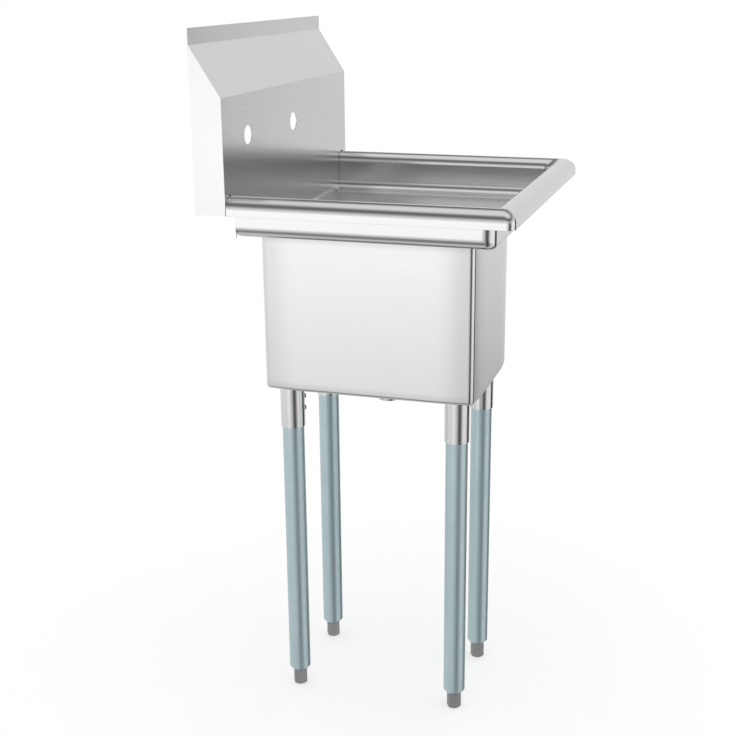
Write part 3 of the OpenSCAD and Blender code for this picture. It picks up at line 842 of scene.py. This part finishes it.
@dataclass
class BasketStrainer:
    """The strainer's turned body with its flange, cup and threaded tail, and the basket's knob."""

    steel: Material
    seat: float = BOWL_BOTTOM_Z + SHEET - 4 * MM
    flange_r: float = 56 * MM
    flange_t: float = 2.6 * MM
    cup_r: float = 41 * MM
    cup_h: float = 20 * MM
    cone_h: float = 9 * MM
    wall: float = 2.4 * MM
    tail_r: float = 19 * MM
    tail_l: float = 10 * MM
    tail_wall: float = 1.8 * MM
    edge_r: float = 1 * MM
    thread_pitch: float = 1.9 * MM
    thread_depth: float = 0.6 * MM
    thread_proud: float = 0.05 * MM
    thread_buried: float = 1 * MM
    cup_thread_start: float = 0.6 * MM
    cup_thread_top: float = 14.5 * MM
    tail_thread_start: float = 0.8 * MM
    tail_thread_end: float = 1.2 * MM
    basket_r: float = 37 * MM
    basket_t: float = 0.9 * MM
    basket_edge_r: float = 0.7 * MM
    gap: float = 0.3 * MM
    knob_r: float = 8 * MM
    knob_h: float = 16 * MM
    columns: int = 96

    def placed(self, radius: np.ndarray, height: np.ndarray, base: float, columns: int) -> np.ndarray:
        """Returns a profile turned about the drain's axis, above a base height."""
        return turned(radius, height, columns) + np.array([*BOWL_CENTRE, base])

    def body(self) -> None:
        """Makes the body: one closed profile with broken edges, turned about the drain's axis."""
        seat_r = self.basket_r + self.gap
        bore_r = seat_r - 2 * self.wall
        cup_bore, tail_bore = self.cup_r - self.wall, self.tail_r - self.tail_wall
        lip = self.flange_t / 3
        low = -self.cup_h - self.cone_h
        profile = np.array([
            [seat_r, self.flange_t], [seat_r, self.flange_t - self.wall], [bore_r, self.flange_t - self.wall],
            [bore_r, self.basket_t - self.wall], [cup_bore, -self.wall], [cup_bore, self.wall - self.cup_h],
            [tail_bore, low + self.wall], [tail_bore, low - self.tail_l], [self.tail_r, low - self.tail_l],
            [self.tail_r, low], [self.cup_r, -self.cup_h], [self.cup_r, 0.0], [self.flange_r - lip, 0.0],
            [self.flange_r - lip, lip], [self.flange_r - self.flange_t, self.flange_t]])
        radius, height = rounded(profile, self.edge_r).T
        shell = Patch(self.placed(radius, height, self.seat, self.columns))
        Trim("strainer_turning", "drain_steel", self.steel, 40.0, ("strainer_body",), [shell]).build()

    def threads(self) -> None:
        """Makes the threads on the cup, for the locknut, and on the tail, for the trap's nut.

        Each thread's first and last row lie a depth and more inside the metal, and close it.
        """
        low = -self.cup_h - self.cone_h - self.tail_l
        patches = []
        cup = (-self.cup_h + self.cup_thread_start, -self.cup_thread_top, self.cup_r)
        tail = (low + self.tail_thread_start, low + self.tail_l - self.tail_thread_end, self.tail_r)
        for bottom, top, root in (cup, tail):
            radius, height = thread(bottom, top, root + self.thread_proud, self.thread_pitch,
                                    self.thread_depth, self.columns)
            buried = np.full((1, self.columns), root - self.thread_buried)
            radius = np.concatenate([buried, radius, buried])
            height = np.concatenate([height[:1], height, height[-1:]])
            patches.append(Patch(self.placed(radius, height, self.seat, self.columns)))
        Trim("strainer_threads", "drain_steel", self.steel, 25.0, (), patches).build()

    def knob(self) -> None:
        """Makes the basket's round knob and the rolled edge of its rim.

        The knob is a closed profile from its neck over a low dome, turned about the drain's axis,
        and the edge is a circle carried round.
        """
        base = self.seat + self.flange_t - self.wall + self.gap
        angle = np.radians(np.linspace(0.0, 90.0, 12))
        dome_r = self.knob_r * (0.55 + 0.48 * np.cos(angle))
        dome_z = (2.6 * np.sin(angle) - 2.2) * MM
        neck = np.array([[3.1, -6.0], [3.4, -5.0], [6.6, -4.3], [8.1, -3.4]]) * MM
        crown = np.array([[1.2, 0.6]]) * MM
        radius, height = np.concatenate([neck, np.stack([dome_r, dome_z], axis=-1), crown]).T
        knob = self.placed(radius, height + self.knob_h, base, 48)
        edge_r, edge_z = arc((self.basket_r - self.basket_edge_r, self.basket_t / 2), self.basket_edge_r,
                             0, 360, 13).T
        edge = self.placed(edge_r, edge_z, base, self.columns)
        Trim("basket_knob", "drain_steel", self.steel, 40.0, (),
             [Patch(knob, cap_first=True, cap_last=True), Patch(edge)], body="basket").build()


@dataclass
class Leg:
    """One leg's fittings: two socket set screws, the weld at its socket's top and its screw foot."""

    name: str
    x: float
    y: float
    turn: float
    zinc: Material
    weld_finish: Material
    socket_r: float = 20.48 * MM
    screw_drop: float = 25 * MM
    screw_pitch: float = 21 * MM
    head_r: float = 4.5 * MM
    head_h: float = 4.6 * MM
    head_edge: float = 0.2 * MM
    head_sunk: float = 1 * MM
    recess: float = 5 * MM
    recess_lip: float = 0.35 * MM
    recess_floor: float = 1.5 * MM
    recess_draft: float = 0.97
    weld_r: float = 1.4 * MM
    weld_out: float = 0.4 * MM
    weld_drop: float = 0.6 * MM
    weld_points: int = 240
    weld_drops: int = 30
    foot_h: float = 28 * MM
    across_flats: float = 22 * MM
    chamfer: float = 1.6 * MM
    stud_r: float = 6 * MM
    stud_l: float = 62 * MM
    stud_pitch: float = 1.75 * MM
    stud_depth: float = 1.05 * MM
    thread_start: float = 0.8 * MM
    thread_end: float = 1.5 * MM
    tip_in: float = 1.4 * MM
    columns: int = 48

    def set_screws(self) -> None:
        """Makes the two screws: a dome of 5/4 the head's radius, with a hexagonal hole."""
        ball = self.head_r * 5 / 4
        lip_r = self.recess / 2 / math.cos(math.pi / 6) + self.recess_lip
        sides = np.linspace(math.asin(self.head_r / ball), math.asin(lip_r / ball), 8)
        dome_z = self.head_h - ball + ball * np.cos(sides)
        round_r = np.concatenate([[self.head_r, self.head_r - self.head_edge], ball * np.sin(sides)])
        hole = hexagon(around(self.columns), self.recess)[None]
        rings = round_r[:, None] * np.ones((1, self.columns))
        radius = np.concatenate([rings, hole, hole * self.recess_draft])
        height = np.concatenate([[-self.head_sunk, self.head_edge], dome_z,
                                 [dome_z[-1] - self.head_edge, self.recess_floor]])
        head = turned(radius, height, self.columns)
        out_x, out_y = math.cos(self.turn), math.sin(self.turn)
        axes = np.array([[0.0, 0.0, -1.0], [-out_y, out_x, 0.0], [out_x, out_y, 0.0]])
        patches = []
        for k in range(2):
            place = np.array([self.x + self.socket_r * out_x, self.y + self.socket_r * out_y,
                              BOWL_BOTTOM_Z - self.screw_drop - k * self.screw_pitch])
            patches.append(Patch(head @ axes + place, cap_first=True, cap_last=True))
        Trim(f"hex_set_screws_{self.name}", "screw_zinc", self.zinc, 30.0,
             (f"set_screws_{self.name}",), patches).build()

    def weld(self) -> None:
        """Makes the bead round the socket's top."""
        radius, height = np.array([[self.socket_r + self.weld_out], [BOWL_BOTTOM_Z - self.weld_drop]])
        path = turned(radius, height, self.weld_points)[0] + np.array([self.x, self.y, 0.0])
        Trim(f"socket_weld_{self.name}", "socket_steel", self.weld_finish, 60.0, (),
             [fillet_weld(path, self.weld_r, self.weld_drops * around(self.weld_points))]).build()

    def foot(self) -> None:
        """Makes the screw foot: a hexagon cut by a cone at both ends, under a threaded stud.

        The hexagon's radius is the smaller of the hexagon's own and the cone's at that height.
        """
        flat, corner = self.across_flats / 2, self.across_flats / 2 / math.cos(math.pi / 6)
        rise = np.linspace(0.0, 1.0, 5)
        cone = (flat - self.chamfer / 2) + (corner - flat + self.chamfer / 2) * rise
        lower = np.minimum(hexagon(around(self.columns), self.across_flats)[None], cone[:, None])
        stud_top = self.foot_h + self.stud_l
        radii, heights = thread(self.foot_h + self.thread_start, stud_top - self.thread_end, self.stud_r,
                                self.stud_pitch, self.stud_depth, self.columns)
        neck_out, neck_up = np.array([[1.2, 0.3, 0.0], [0.0, 0.3, 0.7]]) * MM
        neck = np.full((3, self.columns), self.stud_r) + neck_out[:, None]
        tip = np.full((1, self.columns), self.stud_r - self.tip_in)
        radius = np.concatenate([lower, lower[::-1], neck, radii, tip])
        height = np.concatenate([self.chamfer * rise, self.foot_h - self.chamfer * rise[::-1],
                                 self.foot_h + neck_up, heights, [stud_top]])
        points = turned(radius, height, self.columns) + np.array([self.x, self.y, 0.0])
        body = f"foot_{self.name}"
        Trim(f"threaded_foot_{self.name}", "foot_grey", self.zinc, 25.0, (body,),
             [Patch(points, cap_first=True, cap_last=True)], body=body).build()


@dataclass(frozen=True)
class Panel:
    """A panel or a gap of the studio, by direction from the sink, in degrees.

    It has its full strength up to one angle either side of its azimuth, and is gone at another.
    Azimuth 0 is the sink's right end and 90 the wall. The strength is a share of light, or for the
    side panels' lift how many degrees higher they reach.
    """

    azimuth: float
    full: float
    gone: float
    strength: float


@dataclass(frozen=True)
class Fade:
    """A smooth change of the light between two heights, in degrees above the horizon.

    For the ring below the horizon, they are degrees off its middle.
    """

    start: float
    end: float
    before: float
    after: float


class SkyNodes(Nodes):
    """Node maths on the directions of a world: how high each points, and which way round."""

    def __init__(self, tree: bpy.types.NodeTree) -> None:
        """Works out each direction's azimuth and height, in degrees.

        Args:
            tree: The world's tree.
        """
        super().__init__(tree)
        direction = self.add("TexCoord").outputs["Generated"]
        axes = self.add("SeparateXYZ", {0: direction}).outputs
        self.azimuth = self.maths("DEGREES", self.maths("ARCTAN2", axes[1], axes[0]))
        self.height = self.maths("DEGREES", self.maths("ARCSINE", axes[2]))

    def plus(self, *values: Value) -> Socket:
        """Adds values up."""
        return reduce(partial(self.maths, "ADD"), values)

    def times(self, *values: Value) -> Socket:
        """Multiplies values."""
        return reduce(partial(self.maths, "MULTIPLY"), values)

    def toward(self, panel: Panel) -> Socket:
        """The strength of a panel in each direction, all the way up."""
        off = self.maths("WRAP", self.maths("SUBTRACT", self.azimuth, panel.azimuth), -180.0, 180.0)
        return self.step(self.maths("ABSOLUTE", off), panel.full, panel.gone, panel.strength, 0.0)

    def above(self, fade: Fade, height: Socket | None = None) -> Socket:
        """The light that a fade leaves at each height, or at another height given in its place."""
        return self.step(height or self.height, fade.start, fade.end, fade.before, fade.after)


@dataclass
class Studio:
    """The pale floor, the soft panels of light round it and the camera.

    The panels are bands of the world by direction: all round and overhead at the level of white
    paper, a brighter one low behind the camera's left, gaps at two corners and between the side
    panels and the one overhead. Below the horizon the floor dims them, most in a ring.
    """

    camera_place: tuple[float, float, float] = (-2.0942229, -0.607965, 1.2351901)
    yaw: float = 16.9617
    pitch: float = 17.3708
    roll: float = -0.3338
    focal_px: float = 1270.6723
    centre_px: tuple[float, float] = (386.97, 370.5402)
    image_px: int = 736
    floor_half: float = 40.0
    paper_r: float = 0.55
    white_r: float = 1.5
    paper_glow: float = 0.56
    fill: float = 0.2
    dimmer: float = 0.86
    sides: Fade = Fade(10.0, 40.0, 0.8, 0.0)
    side_lift: Panel = Panel(-50.0, 38.0, 72.0, 14.0)
    overhead: Fade = Fade(46.0, 72.0, 0.0, 0.85)
    front_left_gap: Panel = Panel(-142.0, 2.0, 33.0, 0.9)
    front_right_gap: Panel = Panel(-45.0, 9.0, 22.0, 0.95)
    right_dip: Panel = Panel(-15.0, 15.0, 45.0, 0.06)
    gap_top: Fade = Fade(6.0, 26.0, 1.0, 0.0)
    key: Panel = Panel(161.0, 5.0, 27.0, 0.62)
    key_foot: Fade = Fade(-30.0, -8.0, 0.4, 1.0)
    key_top: Fade = Fade(-7.0, 14.0, 1.0, 0.0)
    front_panel: Panel = Panel(-92.0, 14.0, 30.0, 0.32)
    wall_panel: Panel = Panel(92.0, 34.0, 60.0, 0.22)
    horizon: Fade = Fade(-22.0, -8.0, 0.78, 1.0)
    near_floor: Fade = Fade(-40.0, -18.0, 0.84, 1.0)
    ring_depth: float = 53.0
    ring: Fade = Fade(5.0, 25.0, 0.64, 0.0)
    ring_turn: Panel = Panel(163.0, 5.0, 70.0, 1.0)
    right_shade: Panel = Panel(-15.0, 25.0, 50.0, 0.22)
    right_shade_top: Fade = Fade(-21.0, -12.0, 1.0, 0.0)

    def build(self) -> None:
        """Makes the camera, the world and the floor."""
        self.camera()
        self.world()
        self.floor()

    def camera(self) -> None:
        """Sets up the camera at the photograph's place.

        Its forward direction comes from yaw and pitch, its right lies level, its up is their cross
        product, and both are then turned by the roll.
        """
        yaw, pitch, roll = (math.radians(a) for a in (self.yaw, self.pitch, self.roll))
        ahead = np.array([math.cos(yaw), math.sin(yaw), 0.0])
        forward = math.cos(pitch) * ahead - math.sin(pitch) * UP
        level = np.cross(ahead, UP)
        above = np.cross(level, forward)
        right = math.cos(roll) * level + math.sin(roll) * above
        up = math.cos(roll) * above - math.sin(roll) * level
        data = bpy.data.cameras.new("camera")
        data.sensor_width = 36.0
        data.lens = self.focal_px / self.image_px * data.sensor_width
        data.shift_x = (self.image_px / 2 - self.centre_px[0]) / self.image_px
        data.shift_y = (self.centre_px[1] - self.image_px / 2) / self.image_px
        data.clip_end = 200.0
        camera = bpy.data.objects.new("camera", data)
        turn = np.eye(4)
        turn[:3, :3] = np.stack([right, up, -forward], axis=1)
        turn[:3, 3] = self.camera_place
        camera.matrix_world = Matrix(turn.tolist())
        bpy.context.scene.collection.objects.link(camera)
        bpy.context.scene.camera = camera

    def light(self, sky: SkyNodes) -> Socket:
        """Works out the light that comes from each direction.

        Args:
            sky: The world's directions.

        Returns:
            The socket with the strength.
        """
        gap_top = sky.above(self.gap_top)
        sides = sky.above(self.sides, sky.maths("SUBTRACT", sky.height, sky.toward(self.side_lift)))
        base = sky.plus(sides, sky.above(self.overhead), self.fill)
        dark = (self.front_left_gap, self.front_right_gap, self.right_dip)
        gaps = sky.plus(*(sky.toward(gap) for gap in dark))
        base = sky.times(base, sky.maths("SUBTRACT", 1.0, sky.times(gaps, gap_top)))
        key = sky.times(sky.toward(self.key), sky.above(self.key_foot), sky.above(self.key_top))
        panels = sky.times(sky.plus(sky.toward(self.front_panel), sky.toward(self.wall_panel)), gap_top)
        off_ring = sky.maths("ABSOLUTE", sky.plus(sky.height, self.ring_depth))
        ring = sky.times(sky.above(self.ring, off_ring), sky.toward(self.ring_turn))
        shade = sky.times(sky.toward(self.right_shade), sky.above(self.right_shade_top))
        floor = sky.times(sky.above(self.horizon), sky.above(self.near_floor),
                          sky.maths("SUBTRACT", 1.0, sky.plus(ring, shade)))
        return sky.times(sky.plus(base, key, panels), floor, self.dimmer)

    def world(self) -> None:
        """Lights the scene by direction: plain white to the camera, panels of light to all else."""
        world = bpy.data.worlds.new("studio")
        world.use_nodes = True
        sky = SkyNodes(world.node_tree)
        seen = sky.add("LightPath").outputs["Is Camera Ray"]
        strength = sky.add("Mix", {0: seen, 2: self.light(sky), 3: 1.0}).outputs[0]
        light = sky.add("Background", {"Color": WHITE, "Strength": strength})
        sky.add("OutputWorld", {"Surface": light.outputs[0]})
        bpy.context.scene.world = world

    def floor(self) -> None:
        """Lays the pale floor: paper near the sink, where it keeps the shadow, white further out."""
        half = self.floor_half
        mesh = bpy.data.meshes.new("floor")
        corners = np.array([[-half, -half, 0], [half, -half, 0], [half, half, 0], [-half, half, 0]])
        mesh.from_pydata(corners.tolist(), [], [(0, 1, 2, 3)])
        floor = bpy.data.objects.new("floor", mesh)
        bpy.context.scene.collection.objects.link(floor)
        nodes = FinishNodes("white_paper_floor")
        distance = nodes.add("VectorMath", {0: nodes.place}, operation="LENGTH")
        fade = nodes.step(distance.outputs["Value"], self.paper_r, self.white_r, 0.0, 1.0)
        share = nodes.maths("MULTIPLY", fade, nodes.add("LightPath").outputs["Is Camera Ray"])
        paper = nodes.add("BsdfDiffuse", {"Color": linear("#ececec")})
        glow = nodes.add("Emission", {"Color": WHITE, "Strength": self.paper_glow})
        lit = nodes.add("AddShader", {0: paper.outputs[0], 1: glow.outputs[0]})
        white = nodes.add("Emission", {"Color": WHITE, "Strength": 1.0})
        shader = nodes.add("MixShader", {0: share, 1: lit.outputs[0], 2: white.outputs[0]})
        nodes.add("OutputMaterial", {"Surface": shader.outputs[0]})
        mesh.materials.append(nodes.material)
        floor.visible_glossy = False


def dress(names: list[str], material: Material) -> None:
    """Gives CAD nodes a finish.

    Args:
        names: The nodes.
        material: Their material.
    """
    for name in names:
        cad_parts[name].material_slots[0].material = material
        log.info("%s is %s", name, material.name)


def build_basin(weld: Material) -> None:
    """Dresses the backsplash and its ends, and makes the rim, the pan and the bowl.

    Args:
        weld: The finish of the ground welds.
    """
    width = BrushedStainless("stainless_brushed_along_width", roughness=0.2).build()
    depth = BrushedStainless("stainless_brushed_along_depth", Grain.ALONG_DEPTH).build()
    by_face = BrushedStainless("stainless_brushed_by_face", Grain.BY_FACE).build()
    lining = BrushedStainless("stainless_brushed_inside", Grain.BY_FACE, roughness=0.4).build()
    deck = BrushedStainless("stainless_brushed_deck", Grain.BY_FACE, roughness=0.2).build()
    dress(["backsplash"], width)
    dress(["end_cap_left", "end_cap_right"], depth)
    rim_low, rim_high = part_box("rim_front")
    splash_low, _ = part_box("backsplash")
    _, rim_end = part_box("rim_right")
    rim = RolledRim(rim_end.x, rim_low.y, splash_low.y, rim_high.z, rim_low.z, by_face, weld)
    rim.build()
    rim.seams(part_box("deck_pan")[0].z)
    bowl = PressedBowl(by_face, lining, weld)
    PressedPan(by_face, deck).build(bowl.mouth(bowl.mouth_r - SHEET))
    bowl.build()
    bowl.weld()


def build_drain() -> None:
    """Makes the strainer and dresses what clamps it."""
    polished = MottledMetal("polished_stainless", "#dcdcdb", "#d2d2d2", 0.12, patch_size=25 * MM).build()
    cast = MottledMetal("plated_zinc_casting", "#b5b3ac", "#a19f98", 0.35, patch_size=8 * MM).build()
    rubber = DullSolid("moulded_black_rubber", "#1c1c1d", "#2a2a2b", 0.7).build()
    fibre = DullSolid("pressed_red_fibre", "#6b2f26", "#7d4034", 0.85).build()
    dress(["strainer_basket"], polished)
    strainer = BasketStrainer(polished)
    strainer.body()
    strainer.threads()
    strainer.knob()
    dress(["drain_locknut"], cast)
    dress(["drain_gasket", "basket_stopper"], rubber)
    dress(["drain_washer"], fibre)


def build_legs(weld: Material) -> None:
    """Dresses the four legs and makes their screws, welds and feet.

    Args:
        weld: The finish of the welds.
    """
    corners = [f"{side}_{end}" for side in ("front", "back") for end in ("left", "right")]
    steel = MottledMetal("turned_stainless", "#e6e6e6", "#dadada", 0.19, patch_size=20 * MM).build()
    pipe = MottledMetal("galvanised_steel_pipe", "#c6d8db", "#b6cacf", 0.38, patch_size=40 * MM,
                        metallic=0.82).build()
    grey = MottledMetal("grey_zinc_plate", "#a6a6a6", "#929292", 0.4, patch_size=9 * MM).build()
    for corner in corners:
        dress([f"leg_socket_{corner}"], steel)
        dress([f"leg_pipe_{corner}"], pipe)
        dress([f"foot_insert_{corner}"], grey)
        low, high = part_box(f"leg_pipe_{corner}")
        x, y = (low.x + high.x) / 2, (low.y + high.y) / 2
        turn = math.atan2(-math.copysign(1.0, y), -math.copysign(1.0, x - BOWL_CENTRE[0]))
        leg = Leg(corner, x, y, turn, grey, weld)
        leg.set_screws()
        leg.weld()
        leg.foot()


def main() -> None:
    """Builds the studio and dresses the sink, piece by piece."""
    logging.basicConfig(level=logging.INFO, format="%(message)s")
    bpy.context.scene.view_settings.view_transform = "Standard"
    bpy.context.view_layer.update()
    Studio().build()
    weld = MottledMetal("ground_stainless_weld", "#8b8a88", "#7a7876", 0.35, patch_size=3 * MM).build()
    build_basin(weld)
    build_drain()
    build_legs(weld)
    zinc = MottledMetal("galvanised_steel_sheet", "#b8c0c2", "#9ba6a9", 0.38, patch_size=18 * MM).build()
    dress(["deck_channel"], zinc)


if __name__ == "__main__":
    main()
